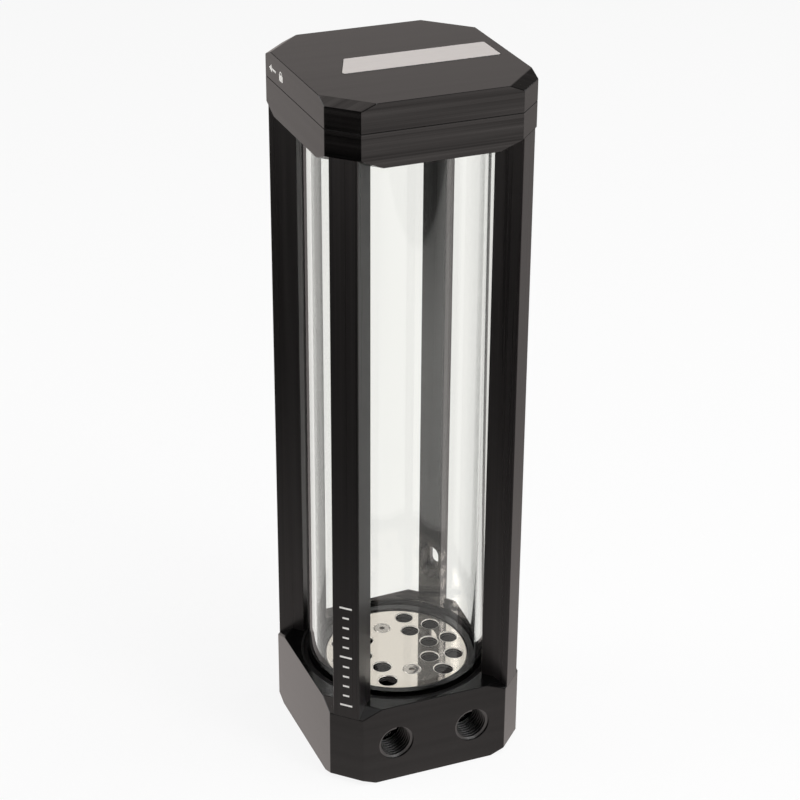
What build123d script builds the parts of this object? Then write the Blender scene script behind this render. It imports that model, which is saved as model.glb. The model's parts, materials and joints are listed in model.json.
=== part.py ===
from build123d import *
import os
from math import cos, radians, sin, sqrt, tan

# Water cooling reservoir: a glass tube between a base and a top collar, held by four corner struts.
# The lid turns in the collar on a coarse four-start thread. Units are millimetres, +Z is up, and the
# origin is the centre of the underside. The two ports face -Y.

# Plan of the base, the collar and the lid, whose width follows from the glass, its seal and the struts
corner_leg = 9.0
edge_break = 0.15
facet_angle = 30.0
seat_facet_drop = 3.05
trim_facet_drop = 2.1

# Heights
base_height = 31.0
bay_height = 203.0
collar_height = 12.0
lid_height = 9.5

# Glass and its seals
glass_diameter = 65.0
glass_wall = 3.2
glass_pocket_depth = 6.0
gasket_thickness = 1.0
gasket_side_gap = 0.2
seal_room = 1.7
seal_squeeze_gap = 0.03
seal_below_face = 1.0
inner_lip_gap = 0.4

# Struts and their screws
strut_side = 10.0
strut_to_seal = 1.055
strut_edge_break = 0.15
strut_tap_depth = 9.2
strut_screw_inset = 5.5
mount_slot_width = 4.5
mount_slot_length = 10.6
mount_slot_height = 17.5
mount_head_width = 7.6
mount_head_depth = 6.5

# Base: chamber, rib between its two halves, ports
chamber_ledge = 1.5
chamber_floor = 8.0
chamber_corner = 3.0
rib_width = 9.0
port_spacing = 29.3
port_height = 15.5
port_thread_radius = 6.58
port_thread_length = 12.0
port_passage_radius = 5.5
port_passage_end = 9.0

# Flow plate
plate_lip_wall = 2.6
plate_side_gap = 0.2
plate_thickness = 1.5
plate_below_face = 0.6
plate_hole_radius = 3.25
plate_hole_to_wall = 0.25
plate_ring_step = 8.0
plate_screw_ring = 14.6

# Screws: thread radius, head radius, head height, key size across flats
m4_radius = 2.0
m4_head_radius = 3.5
m4_head_height = 4.0
m4_key = 3.0
m3_radius = 1.5
m3_head_radius = 3.0
m3_key = 2.0
key_depth = 1.6
tap_end_room = 1.0
tap_gap = 0.05
clear_gap = 0.25
head_gap = 0.3
base_screw_length = 30.0
base_screw_recess = 7.0
collar_screw_length = 16.0
collar_screw_recess = 4.4
plate_screw_length = 10.0
plug_screw_length = 8.0

# Lid thread: four lugs on the plug run up four grooves in the collar
thread_starts = 4
thread_lead = 24.0
lug_span = 24.0
lug_depth = 2.3
lug_thickness = 3.0
lug_above_collar_face = 4.0
groove_end_room = 3.0
run_gap = 0.3
bore_lip_wall = 3.9
plug_side_gap = 0.4
plug_floor_height = 0.5
plug_cup_wall = 5.6
plug_cup_chamfer = 2.0
plug_disc = 3.0
plug_screw_ring = 13.0
plug_boss_radius = 9.0
plug_boss_height = 1.0
plug_boss_gap = 0.15
counterbore_shoulder = 5.5
counterbore_depth = 3.6
spigot_end_gap = 0.2
lid_seal_section = 1.6
lid_seal_width = 2.2
lid_seal_gap = 0.05
lid_seal_below_cap = 1.8

# Badge let into the lid
badge_depth = 0.9
badge_proud = 0.1
badge_width = 14.3
badge_left_top = -16.8
badge_left_bottom = -22.9
badge_right = 32.9
badge_corner = 1.2
badge_gap = 0.1

# Worked-out places
glass_radius = glass_diameter / 2
glass_bore = glass_radius - glass_wall
pocket_radius = glass_radius + seal_room
lip_radius = glass_bore - inner_lip_gap
corner_reach = pocket_radius + strut_to_seal + strut_side
body_width = corner_reach * sqrt(2) + corner_leg
collar_z = base_height + bay_height
lid_z = collar_z + collar_height
glass_z = base_height - glass_pocket_depth + gasket_thickness
glass_length = bay_height + 2 * (glass_pocket_depth - gasket_thickness)
strut_screw_radius = corner_reach - strut_screw_inset
plate_top = base_height - plate_below_face
plate_z = plate_top - plate_thickness
plate_radius = lip_radius - plate_lip_wall - plate_side_gap
chamber_radius = plate_radius - chamber_ledge
plate_outer_ring = chamber_radius - plate_hole_to_wall - plate_hole_radius
plate_inner_ring = plate_outer_ring - plate_ring_step
bore_radius = lip_radius - bore_lip_wall
counterbore_radius = bore_radius + counterbore_shoulder
plug_radius = bore_radius - plug_side_gap
plug_cup_radius = plug_radius - plug_cup_wall
plug_z = collar_z + plug_floor_height
spigot_radius = counterbore_radius - run_gap
spigot_z = lid_z - counterbore_depth + spigot_end_gap
lug_z = collar_z + lug_above_collar_face
groove_radius = plug_radius + lug_depth + run_gap
corner_angles = [45, 135, 225, 315]


def faceted_block(z, height, drop_below, drop_above):
    """Square block with cut corners, whose corner faces end in a sloping facet below and above."""
    with BuildPart() as block:
        with BuildSketch(Plane.XY.offset(z)) as outline:
            Rectangle(body_width, body_width)
            chamfer(outline.vertices(), corner_leg)
        extrude(amount=height)
        tilt_out = sin(radians(facet_angle))
        tilt_up = cos(radians(facet_angle))
        for angle in corner_angles:
            out_x = cos(radians(angle))
            out_y = sin(radians(angle))
            for edge_z, side in ((z + height - drop_above, 1), (z + drop_below, -1)):
                facet = Plane(
                    origin=(corner_reach * out_x, corner_reach * out_y, edge_z),
                    z_dir=(out_x * tilt_out, out_y * tilt_out, side * tilt_up),
                )
                split(bisect_by=facet, keep=Keep.BOTTOM)
        chamfer(block.edges(), edge_break)
    return block.part


def ring(inner, outer, z, height):
    """Flat ring on the vertical axis."""
    with BuildPart() as flat_ring:
        with BuildSketch(Plane.XY.offset(z)):
            Circle(outer)
            Circle(inner, mode=Mode.SUBTRACT)
        extrude(amount=height)
    return flat_ring.part


def round_seal(inner, outer, z):
    """O-ring between an inner and an outer wall, its section an octagon, with its centre line at height z."""
    section_radius = (outer - inner) / 2 - seal_squeeze_gap
    with BuildPart() as seal:
        with BuildSketch(Plane.XZ):
            with Locations(((inner + outer) / 2, z)):
                RegularPolygon(section_radius, 8, major_radius=False, rotation=180 / 8)
        revolve(axis=Axis.Z)
    return seal.part


def socket_screw(length):
    """M4 cap screw, its thread up +Z from the underside of the head at z = 0."""
    with BuildPart() as screw:
        with BuildSketch():
            Circle(m4_radius)
        extrude(amount=length)
        with BuildSketch():
            Circle(m4_head_radius)
        extrude(amount=-m4_head_height)
        with BuildSketch(Plane.XY.offset(-m4_head_height)):
            RegularPolygon(m4_key / 2, 6, major_radius=False)
        extrude(amount=key_depth, mode=Mode.SUBTRACT)
    return screw.part


def flat_screw(length):
    """M3 countersunk screw, its head's top face at z = 0 and its thread down -Z."""
    head_height = m3_head_radius - m3_radius
    with BuildPart() as screw:
        with BuildSketch(Plane.XZ):
            with BuildLine():
                Polyline(
                    (0, 0),
                    (m3_head_radius, 0),
                    (m3_radius, -head_height),
                    (m3_radius, -length),
                    (0, -length),
                    close=True,
                )
            make_face()
        revolve(axis=Axis.Z)
        with BuildSketch():
            RegularPolygon(m3_key / 2, 6, major_radius=False)
        extrude(amount=-key_depth, mode=Mode.SUBTRACT)
    return screw.part


def helical_rib(inner, outer, thickness, start_angle, end_angle, z):
    """Rib along the lid thread, at height z where it passes angle 0."""
    rise = thread_lead / 360
    with BuildPart() as rib:
        with BuildLine() as course:
            Helix(
                pitch=thread_lead,
                height=(end_angle - start_angle) * rise,
                radius=(inner + outer) / 2,
                center=(0, 0, z + start_angle * rise),
            )
        path = course.wires()[0]
        with BuildSketch(Plane(origin=path @ 0, x_dir=(1, 0, 0), z_dir=path % 0)):
            Rectangle(outer - inner, thickness)
        sweep(path=path, is_frenet=True)
    return rib.part.rotate(Axis.Z, start_angle)


def write(part, label):
    part.label = label
    export_step(part, f"parts/{label}.step")
    print(f"{label:22} {len(part.solids())} solid(s) {part.volume / 1000:9.3f} cm3")


# Base: the milled block with the glass pocket, the flow plate's seat, two chambers and two ports
with BuildPart() as base_block:
    add(faceted_block(0, base_height, trim_facet_drop, seat_facet_drop))
    with BuildSketch(Plane.XY.offset(base_height)):
        Circle(pocket_radius)
        Circle(lip_radius, mode=Mode.SUBTRACT)
    extrude(amount=-glass_pocket_depth, mode=Mode.SUBTRACT)
    with BuildSketch(Plane.XY.offset(base_height)):
        Circle(plate_radius + plate_side_gap)
    extrude(amount=-(plate_below_face + plate_thickness), mode=Mode.SUBTRACT)
    with BuildSketch(Plane.XY.offset(plate_z)) as chambers:
        Circle(chamber_radius)
        Rectangle(rib_width, 2 * chamber_radius, mode=Mode.SUBTRACT)
        fillet(chambers.vertices(), chamber_corner)
    extrude(amount=chamber_floor - plate_z, mode=Mode.SUBTRACT)
    front = Plane(origin=(0, -body_width / 2, port_height), x_dir=(1, 0, 0), z_dir=(0, -1, 0))
    with BuildSketch(front):
        with GridLocations(port_spacing, 0, 2, 1):
            Circle(port_thread_radius)
    extrude(amount=-port_thread_length, mode=Mode.SUBTRACT)
    with BuildSketch(front):
        with GridLocations(port_spacing, 0, 2, 1):
            Circle(port_passage_radius)
    extrude(amount=port_passage_end - body_width / 2, mode=Mode.SUBTRACT)
    with Locations(Plane.XY.rotated((180, 0, 0))):
        with PolarLocations(strut_screw_radius, 4, start_angle=corner_angles[0]):
            CounterBoreHole(
                radius=m4_radius + clear_gap,
                counter_bore_radius=m4_head_radius + head_gap,
                counter_bore_depth=base_screw_recess,
                depth=base_height,
            )
    with Locations(Plane.XY.offset(plate_z)):
        with GridLocations(0, 2 * plate_screw_ring, 1, 2):
            Hole(m3_radius + tap_gap, depth=plate_screw_length)
write(base_block.part, "base_block")

# Flow plate: two groups of holes over the two chambers, and two screws into the rib between them
with BuildPart() as flow_plate:
    with BuildSketch(Plane.XY.offset(plate_z)):
        Circle(plate_radius)
    extrude(amount=plate_thickness)
    with BuildSketch(Plane.XY.offset(plate_z)):
        for side in (0, 180):
            with PolarLocations(plate_outer_ring, 5, side - 60, 120, endpoint=True):
                Circle(plate_hole_radius)
            with PolarLocations(plate_inner_ring, 3, side - 45, 90, endpoint=True):
                Circle(plate_hole_radius)
    extrude(amount=plate_thickness, mode=Mode.SUBTRACT)
    with Locations(Plane.XY.offset(plate_top)):
        with GridLocations(0, 2 * plate_screw_ring, 1, 2):
            CounterSinkHole(m3_radius + tap_gap, m3_head_radius + tap_gap, counter_sink_angle=90)
write(flow_plate.part, "flow_plate")

with BuildPart() as flow_plate_screws:
    with Locations(Plane.XY.offset(plate_top)):
        with GridLocations(0, 2 * plate_screw_ring, 1, 2):
            add(flat_screw(plate_screw_length))
write(flow_plate_screws.part, "flow_plate_screws")

# Glass tube with ground ends, a flat gasket at each end and an O-ring round each end
with BuildPart() as glass_tube:
    add(ring(glass_bore, glass_radius, glass_z, glass_length))
    chamfer(glass_tube.edges().group_by(Axis.Z)[0], edge_break)
    chamfer(glass_tube.edges().group_by(Axis.Z)[-1], edge_break)
write(glass_tube.part, "glass_tube")

gasket_inner = lip_radius + gasket_side_gap
gasket_outer = pocket_radius - gasket_side_gap
with BuildPart() as base_glass_gasket:
    add(ring(gasket_inner, gasket_outer, glass_z - gasket_thickness, gasket_thickness))
write(base_glass_gasket.part, "base_glass_gasket")

with BuildPart() as collar_glass_gasket:
    add(ring(gasket_inner, gasket_outer, glass_z + glass_length, gasket_thickness))
write(collar_glass_gasket.part, "collar_glass_gasket")

with BuildPart() as base_o_ring:
    add(round_seal(glass_radius, pocket_radius, base_height - seal_below_face))
write(base_o_ring.part, "base_o_ring")

with BuildPart() as collar_o_ring:
    add(round_seal(glass_radius, pocket_radius, collar_z + seal_below_face))
write(collar_o_ring.part, "collar_o_ring")

# Top collar: glass pocket below, counterbore for the lid's spigot above, thread grooves in the bore
groove_rise = lid_z - counterbore_depth + lug_thickness - lug_z
with BuildPart() as top_collar:
    add(faceted_block(collar_z, collar_height, seat_facet_drop, 0))
    with BuildSketch(Plane.XY.offset(collar_z)):
        Circle(pocket_radius)
        Circle(lip_radius, mode=Mode.SUBTRACT)
    extrude(amount=glass_pocket_depth, mode=Mode.SUBTRACT)
    with BuildSketch(Plane.XY.offset(collar_z)):
        Circle(bore_radius)
    extrude(amount=collar_height, mode=Mode.SUBTRACT)
    with BuildSketch(Plane.XY.offset(lid_z)):
        Circle(counterbore_radius)
    extrude(amount=-counterbore_depth, mode=Mode.SUBTRACT)
    with PolarLocations(0, thread_starts):
        add(
            helical_rib(
                bore_radius - lug_depth,
                groove_radius,
                lug_thickness + 2 * run_gap,
                -lug_span / 2 - groove_end_room,
                groove_rise * 360 / thread_lead,
                lug_z,
            ),
            mode=Mode.SUBTRACT,
        )
    with Locations(Plane.XY.offset(lid_z)):
        with PolarLocations(strut_screw_radius, 4, start_angle=corner_angles[0]):
            CounterBoreHole(
                radius=m4_radius + clear_gap,
                counter_bore_radius=m4_head_radius + head_gap,
                counter_bore_depth=collar_screw_recess,
                depth=collar_height,
            )
write(top_collar.part, "top_collar")


def strut(angle):
    """Square corner strut, whose ends follow the facets of the base and the collar."""
    inner = corner_reach - strut_side
    flat_end = corner_reach - seat_facet_drop / tan(radians(facet_angle))
    side_view = Plane.XZ.rotated((0, 0, angle))
    with BuildPart() as bar:
        with BuildSketch(side_view):
            with BuildLine():
                Polyline(
                    (inner, base_height),
                    (flat_end, base_height),
                    (corner_reach, base_height - seat_facet_drop),
                    (corner_reach, collar_z + seat_facet_drop),
                    (flat_end, collar_z),
                    (inner, collar_z),
                    close=True,
                )
            make_face()
        extrude(amount=strut_side / 2, both=True)
        chamfer(bar.edges().filter_by(Axis.Z), strut_edge_break)
        for end_z, inward in ((base_height, 1), (collar_z, -1)):
            screw_x = strut_screw_radius * cos(radians(angle))
            screw_y = strut_screw_radius * sin(radians(angle))
            mouth = end_z - inward * seat_facet_drop
            with BuildSketch(Plane(origin=(screw_x, screw_y, mouth), z_dir=(0, 0, inward))):
                Circle(m4_radius + tap_gap)
            extrude(amount=strut_tap_depth + seat_facet_drop, mode=Mode.SUBTRACT)
    return bar.part


for name, angle in (("strut_front_left", 225), ("strut_front_right", 315), ("strut_back_left", 135)):
    with BuildPart() as plain_strut:
        add(strut(angle))
    write(plain_strut.part, name)

# Mounting strut: a slot for a screw whose head sinks into the strut from the glass side
mount_angle = 45
mount_out = Vector(1, 0, 0).rotate(Axis.Z, mount_angle)
mount_centre_z = base_height + mount_slot_height
with BuildPart() as mounting_strut:
    add(strut(mount_angle))
    inner_face = Plane(
        origin=mount_out * (corner_reach - strut_side) + Vector(0, 0, mount_centre_z),
        x_dir=(0, 0, 1),
        z_dir=mount_out,
    )
    with BuildSketch(inner_face):
        SlotOverall(mount_slot_length, mount_slot_width)
    extrude(amount=strut_side, mode=Mode.SUBTRACT)
    with BuildSketch(inner_face):
        SlotOverall(mount_slot_length + mount_head_width - mount_slot_width, mount_head_width)
    extrude(amount=mount_head_depth, mode=Mode.SUBTRACT)
write(mounting_strut.part, "mounting_strut")

with BuildPart() as base_screws:
    with Locations(Plane.XY.offset(base_screw_recess)):
        with PolarLocations(strut_screw_radius, 4, start_angle=corner_angles[0]):
            add(socket_screw(base_screw_length))
write(base_screws.part, "base_screws")

with BuildPart() as collar_screws:
    with Locations(Plane.XY.offset(lid_z - collar_screw_recess).rotated((180, 0, 0))):
        with PolarLocations(strut_screw_radius, 4, start_angle=corner_angles[0]):
            add(socket_screw(collar_screw_length))
write(collar_screws.part, "collar_screws")

# Lid plug: spigot with the seal groove, cup below, four lugs for the collar's thread
seal_floor = counterbore_radius - lid_seal_section
seal_z = lid_z - lid_seal_below_cap
with BuildPart() as lid_plug:
    with BuildSketch(Plane.XY.offset(plug_z)):
        Circle(plug_radius)
    extrude(amount=lid_z - plug_z)
    with BuildSketch(Plane.XY.offset(spigot_z)):
        Circle(spigot_radius)
    extrude(amount=lid_z - spigot_z)
    with BuildSketch(Plane.XY.offset(lid_z)):
        Circle(plug_boss_radius)
    extrude(amount=plug_boss_height)
    with BuildSketch(Plane.XY.offset(seal_z - lid_seal_width / 2)):
        Circle(counterbore_radius)
        Circle(seal_floor, mode=Mode.SUBTRACT)
    extrude(amount=lid_seal_width, mode=Mode.SUBTRACT)
    with BuildSketch(Plane.XY.offset(plug_z)):
        Circle(plug_cup_radius)
    extrude(amount=lid_z - plug_disc - plug_z, mode=Mode.SUBTRACT)
    chamfer(lid_plug.faces(Select.LAST).sort_by(Axis.Z)[-1].edges(), plug_cup_chamfer)
    with PolarLocations(0, thread_starts):
        add(
            helical_rib(
                plug_radius - lug_depth / 2,
                plug_radius + lug_depth,
                lug_thickness,
                -lug_span / 2,
                lug_span / 2,
                lug_z,
            )
        )
    with Locations(Plane.XY.offset(lid_z - plug_disc).rotated((180, 0, 0))):
        with PolarLocations(plug_screw_ring, 4, start_angle=corner_angles[0]):
            CounterSinkHole(
                radius=m3_radius + clear_gap,
                counter_sink_radius=m3_head_radius + tap_gap,
                depth=plug_disc,
                counter_sink_angle=90,
            )
write(lid_plug.part, "lid_plug")

with BuildPart() as lid_plug_screws:
    with Locations(Plane.XY.offset(lid_z - plug_disc).rotated((180, 0, 0))):
        with PolarLocations(plug_screw_ring, 4, start_angle=corner_angles[0]):
            add(flat_screw(plug_screw_length))
write(lid_plug_screws.part, "lid_plug_screws")

with BuildPart() as lid_o_ring:
    add(round_seal(seal_floor + lid_seal_gap, counterbore_radius - lid_seal_gap, seal_z))
write(lid_o_ring.part, "lid_o_ring")


def badge_outline(grow):
    """Plate outline with one slanted end, its corners rounded, larger by grow on every side."""
    half = badge_width / 2
    with BuildSketch() as outline:
        with BuildLine():
            Polyline(
                (badge_left_top, half),
                (badge_left_bottom, -half),
                (badge_right, -half),
                (badge_right, half),
                close=True,
            )
        make_face()
        fillet(outline.vertices(), badge_corner)
        if grow:
            offset(amount=grow)
    return outline.sketch


# Lid cap and the plate let into its top
with BuildPart() as lid_cap:
    add(faceted_block(lid_z, lid_height, 0, trim_facet_drop))
    with BuildSketch(Plane.XY.offset(lid_z)):
        Circle(plug_boss_radius + plug_boss_gap)
    extrude(amount=plug_boss_height + plug_boss_gap, mode=Mode.SUBTRACT)
    with BuildSketch(Plane.XY.offset(lid_z)):
        with PolarLocations(plug_screw_ring, 4, start_angle=corner_angles[0]):
            Circle(m3_radius + tap_gap)
    extrude(amount=plug_screw_length - plug_disc + tap_end_room, mode=Mode.SUBTRACT)
    with BuildSketch(Plane.XY.offset(lid_z + lid_height)):
        add(badge_outline(badge_gap))
    extrude(amount=-badge_depth, mode=Mode.SUBTRACT)
write(lid_cap.part, "lid_cap")

with BuildPart() as lid_badge:
    with BuildSketch(Plane.XY.offset(lid_z + lid_height - badge_depth)):
        add(badge_outline(0))
    extrude(amount=badge_depth + badge_proud)
    chamfer(lid_badge.edges().group_by(Axis.Z)[-1], badge_proud)
write(lid_badge.part, "lid_badge")
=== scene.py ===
# %% [markdown]
# # A glass tube reservoir for liquid cooling
# The real object is two blocks of black anodised aluminium with a glass tube between them. Four square
# struts at the corners pull the blocks together, and a lid turns into the upper block. This lesson
# dresses the finished solids. It keeps their shape, gives each surface its finish, makes the glass, the
# seals, the plate and the screws again in finer forms, and adds the threads and the printed marks.

# %% Load the solids
import json
import math

import bmesh
import bpy
from mathutils import Matrix, Vector


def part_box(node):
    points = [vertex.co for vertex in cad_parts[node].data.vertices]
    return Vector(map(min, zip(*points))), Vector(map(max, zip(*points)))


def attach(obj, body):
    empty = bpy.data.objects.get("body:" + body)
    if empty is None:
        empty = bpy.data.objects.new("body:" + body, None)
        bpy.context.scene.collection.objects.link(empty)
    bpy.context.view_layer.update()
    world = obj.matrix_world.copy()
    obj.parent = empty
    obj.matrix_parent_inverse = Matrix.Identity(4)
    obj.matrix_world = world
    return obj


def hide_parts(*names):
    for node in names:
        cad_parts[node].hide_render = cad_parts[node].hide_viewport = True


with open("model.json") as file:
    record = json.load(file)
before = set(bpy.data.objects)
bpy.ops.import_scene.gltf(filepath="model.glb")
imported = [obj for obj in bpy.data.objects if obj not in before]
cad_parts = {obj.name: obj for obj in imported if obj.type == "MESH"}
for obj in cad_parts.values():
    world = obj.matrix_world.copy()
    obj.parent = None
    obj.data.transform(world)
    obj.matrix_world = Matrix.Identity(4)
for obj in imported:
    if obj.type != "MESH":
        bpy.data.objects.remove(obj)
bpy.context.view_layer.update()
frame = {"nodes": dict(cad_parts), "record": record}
solids = frame["nodes"]

# %% [markdown]
# ## Small helpers
# Blender works in metres, and this object is easier to think of in millimetres, so sizes are written
# with `mm`. Colours are written as the hex values that a colour picker shows, and one function turns
# them to the linear values that the renderer adds and multiplies. One more function adds a node to any
# tree, sets its fields and makes its links, so that a material reads as a short list. When a whole node
# is given as an input, the link starts at the first of its outputs that is in use.

# %% Units, colours and nodes
mm = 0.001


def colour(hex_value):
    """sRGB hex to linear red, green, blue and alpha."""
    channels = [int(hex_value[i : i + 2], 16) / 255 for i in (1, 3, 5)]
    linear = [c / 12.92 if c <= 0.04045 else ((c + 0.055) / 1.055) ** 2.4 for c in channels]
    return (*linear, 1.0)


def node(tree, kind, inputs=(), **fields):
    """Adds a node. Inputs come in order or by name: nodes and sockets are linked, and values are set."""
    made = tree.nodes.new(kind)
    for name, value in fields.items():
        setattr(made, name, value)
    named_inputs = inputs if isinstance(inputs, dict) else dict(enumerate(inputs))
    for key, value in named_inputs.items():
        if isinstance(value, bpy.types.Node):
            value = next(socket for socket in value.outputs if socket.enabled)
        if isinstance(value, bpy.types.NodeSocket):
            tree.links.new(value, made.inputs[key])
        else:
            made.inputs[key].default_value = value
    return made


def new_material(name):
    """An empty material and its node tree."""
    material = bpy.data.materials.new(name)
    material.use_nodes = True
    material.node_tree.nodes.clear()
    return material, material.node_tree


def new_piece(name, mesh, body, material):
    """Puts a finished mesh in the scene as a piece that rides on a body of the object."""
    piece = bpy.data.objects.new(name, mesh)
    bpy.context.scene.collection.objects.link(piece)
    mesh.materials.clear()
    mesh.materials.append(material)
    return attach(piece, body)


# %% [markdown]
# ## Where the sizes come from
# Pieces that touch the solids take their places from the solids' own boxes, so they still fit when a
# height or a width changes. A box can't give a wall, a slope or the place of a hole, so those are
# written here as the solids have them, next to sizes that the solids don't have, such as a pitch.

# %% Sizes read from the solids
base_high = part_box("base_block")[1]
lid_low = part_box("lid_cap")[0]
glass_low, glass_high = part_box("glass_tube")
half_width = base_high.x
glass_radius = glass_high.x
ports = {m["name"]: m for m in frame["record"]["mounts"] if m["kind"] == "threaded_hole"}
print("width", round(2 * half_width / mm, 2), "glass", round(2 * glass_radius / mm, 2))
print("ports", sorted(ports))

# %% [markdown]
# ## Camera
# The photograph was taken from the front left, looking down. The camera's place, turn and lens could be
# found by eye, but they come from matching the corners of the two blocks in the photograph with the
# corners of the solids, which settles all of them at once.

# %% Camera
azimuth = math.radians(-22.271)
elevation = math.radians(27.031)
roll = math.radians(0.359)
eye = Vector((-264.98, -647.44, 489.08)) * mm
focal_pixels = 2259.8
frame_pixels = 800
centre_pixel_x = 398.38
sensor = 36.0

back = Vector(
    (
        math.sin(azimuth) * math.cos(elevation),
        -math.cos(azimuth) * math.cos(elevation),
        math.sin(elevation),
    )
)
level_right = (-back).cross(Vector((0, 0, 1))).normalized()
level_up = level_right.cross(-back)
right = level_right * math.cos(roll) + level_up * math.sin(roll)
up = level_up * math.cos(roll) - level_right * math.sin(roll)

camera_data = bpy.data.cameras.new("camera")
camera_data.sensor_width = sensor
camera_data.lens = focal_pixels / frame_pixels * sensor
camera_data.shift_x = 0.5 - centre_pixel_x / frame_pixels
camera = bpy.data.objects.new("camera", camera_data)
bpy.context.scene.collection.objects.link(camera)
camera.matrix_world = Matrix.Translation(eye) @ Matrix((right, up, back)).transposed().to_4x4()
bpy.context.scene.camera = camera
print("lens", round(camera_data.lens, 2), "mm")

# %% [markdown]
# ## Light, floor and background
# The photograph is a studio picture on white. Black anodising shows hardly any colour of its own, so
# what makes a face lighter or darker is what it mirrors. The walls mirror the table, which falls off
# into the dark at the front left, and the lid's top mirrors the white wall behind. Cards and walls could
# be built round the object, but they would also throw light on it. So the floor and the world are plain
# white to the camera, and have a pattern of light and dark in reflections and through glass only. The
# light itself comes from four soft lamps.

# %% Lamps
def soft_lamp(name, place, aim, width, height, watts):
    """Rectangular soft box at place, facing aim."""
    lamp_data = bpy.data.lights.new(name, "AREA")
    lamp_data.shape = "RECTANGLE"
    lamp_data.size = width
    lamp_data.size_y = height
    lamp_data.energy = watts
    lamp = bpy.data.objects.new(name, lamp_data)
    bpy.context.scene.collection.objects.link(lamp)
    lamp.location = place
    lamp.rotation_mode = "QUATERNION"
    lamp.rotation_quaternion = (Vector(aim) - Vector(place)).to_track_quat("-Z", "Y")
    return lamp


middle = Vector((0, 0, 0.13))
lamps = [
    soft_lamp("lamp_left", (-1.1, 0.45, 0.5), middle, 0.8, 0.9, 8),
    soft_lamp("lamp_right", (1.1, 0.0, 0.45), middle, 0.6, 0.9, 5),
    soft_lamp("lamp_top", (0.3, -0.45, 1.3), middle, 0.8, 0.6, 10),
    soft_lamp("lamp_front", (0.62, -1.15, 0.5), middle, 0.4, 0.4, 7),
]
print("lamps", len(lamps), "watts", sum(lamp.data.energy for lamp in lamps))

# %% [markdown]
# ## What glass and mirrors see
# Glass shows the room in two ways. Looked through, it shows the white backdrop, with one narrow dark
# flag that stands to the right and draws the tube's edge there. In its sharp reflections it shows the
# front of the room, weaker than it is, as a polarising filter leaves it. The satin metal blurs what it
# mirrors. The Light Path node tells these rays apart, so one material can answer each in its own way.

# %% The backdrop through glass
smooth = {"interpolation_type": "SMOOTHSTEP"}
forward = (-math.sin(azimuth), math.cos(azimuth), 0)
front_light = 0.95
front_low, front_high = -0.2, 0.3
flag_turn = math.radians(42)
flag_half_width = math.radians(3.5)
flag_soft_edge = math.radians(2)
flag_light = 0.03
flag_heading = (math.sin(flag_turn - azimuth), math.cos(flag_turn - azimuth), 0)
flag_outer = math.cos(flag_half_width + flag_soft_edge)
flag_inner = math.cos(flag_half_width)


def backdrop_light(tree, where):
    """How bright the set is towards a point: white behind, dimmer in front, and dark at the flag."""
    flat = node(tree, "ShaderNodeVectorMath", [where, (1, 1, 0)], operation="MULTIPLY")
    heading = node(tree, "ShaderNodeVectorMath", [flat], operation="NORMALIZE")
    ahead = node(tree, "ShaderNodeVectorMath", [heading, forward], operation="DOT_PRODUCT")
    to_flag = node(tree, "ShaderNodeVectorMath", [heading, flag_heading], operation="DOT_PRODUCT")
    flag_fade = [to_flag, flag_outer, flag_inner, 1.0, flag_light]
    front_fade = [ahead, front_low, front_high, front_light, 1.0]
    flag_part, open_part = (
        node(tree, "ShaderNodeMapRange", fade, **smooth) for fade in (flag_fade, front_fade)
    )
    return node(tree, "ShaderNodeMath", [flag_part, open_part], operation="MULTIPLY")


# %% One look for each kind of ray
sharp_share = 0.6


def seen_by_rays(tree, through_glass, mirrored, shader, lit):
    """Mixes how the set looks to plain light, mirrors and glass, and returns the camera's white apart."""
    path = node(tree, "ShaderNodeLightPath").outputs
    lost = node(tree, "ShaderNodeMath", [path["Is Singular Ray"], 1 - sharp_share], operation="MULTIPLY")
    kept = node(tree, "ShaderNodeMath", [1.0, lost], operation="SUBTRACT")
    mirrored = node(tree, "ShaderNodeMath", [mirrored, kept], operation="MULTIPLY")
    camera_white = node(tree, shader, {"Color": colour("#ffffff"), "Strength": 1.0})
    glass_white = node(tree, shader, {"Color": colour("#f9f9f5"), "Strength": through_glass})
    mirror_white = node(tree, shader, {"Color": colour("#fff5f1"), "Strength": mirrored})
    mixed = node(tree, "ShaderNodeMixShader", [path["Is Glossy Ray"], lit, mirror_white])
    mixed = node(tree, "ShaderNodeMixShader", [path["Is Transmission Ray"], mixed, glass_white])
    return path["Is Camera Ray"], mixed, camera_white


# %% [markdown]
# ## The table and the room
# The object stands on a white table with a pool of light round its foot. The table darkens towards the
# front left, and ends half a metre in front, where the dark room begins. That edge is the slanting dark
# wedge in the glass by the rear strut, and from behind, the glass shows the dark itself. Behind stand a
# pale wall and a bright ceiling. A picture of a studio could wrap round the scene, but this room isn't
# known, so each part is a soft fade of its own. The floor keeps a little of the object's real shadow.

# %% Floor
floor_reach = 3.0
floor_drop = 0.2 * mm
floor_mesh = bpy.data.meshes.new("floor")
floor_corners = [(x * floor_reach, y * floor_reach, 0) for x, y in ((-1, -1), (1, -1), (1, 1), (-1, 1))]
floor_mesh.from_pydata(floor_corners, [], [(0, 1, 2, 3)])
floor = bpy.data.objects.new("floor", floor_mesh)
floor.location.z = -floor_drop
bpy.context.scene.collection.objects.link(floor)
print("floor", 2 * floor_reach, "m wide")

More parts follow.
